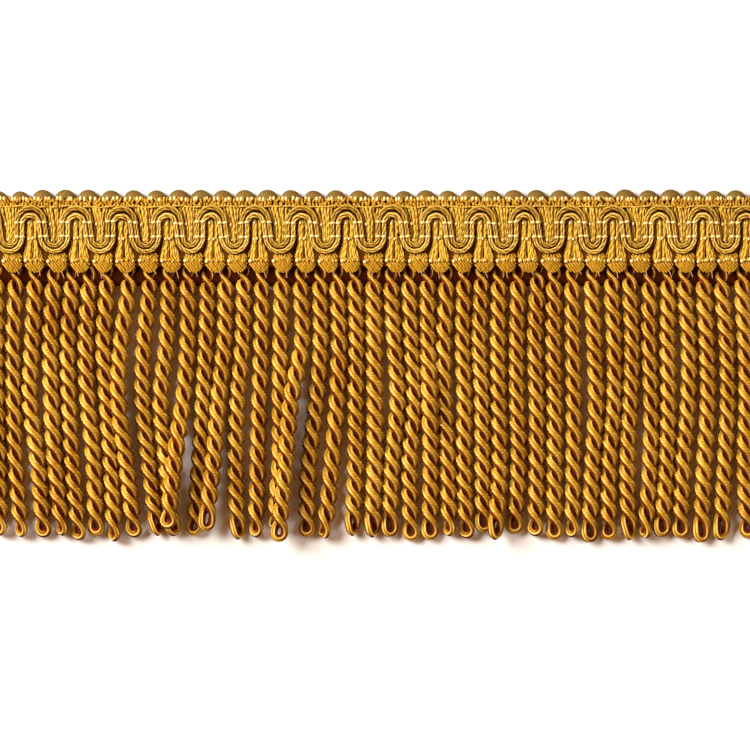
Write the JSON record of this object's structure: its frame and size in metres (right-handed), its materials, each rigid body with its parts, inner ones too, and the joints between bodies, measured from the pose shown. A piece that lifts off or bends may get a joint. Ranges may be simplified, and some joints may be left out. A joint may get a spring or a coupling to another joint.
{
  "type": "bullion fringe with scroll gimp heading",
  "caption": "Cut length of bullion fringe: a narrow woven heading with scalloped edges and a twin-cord scroll on its face, above a skirt of twisted strands with looped ends.",
  "frame": {"origin": "middle of the bounding box's base: the middle of the cut length, half way from the heading's top edge to the longest strand's end, on the surface the fringe lies on", "axes": "+X along the fringe, +Y towards the heading's top edge, +Z out of its face"},
  "size_m": [0.1326, 0.06, 0.0056],
  "materials": {
    "heading_weave": "satin",
    "scroll_cord": "satin",
    "bullion_yarn": "satin"
  },
  "bodies": {
    "root": {"heading_braid": "heading_weave", "scroll_cord_upper": "scroll_cord", "scroll_cord_lower": "scroll_cord", "bullion_skirt": "bullion_yarn"}
  },
  "joints": []
}
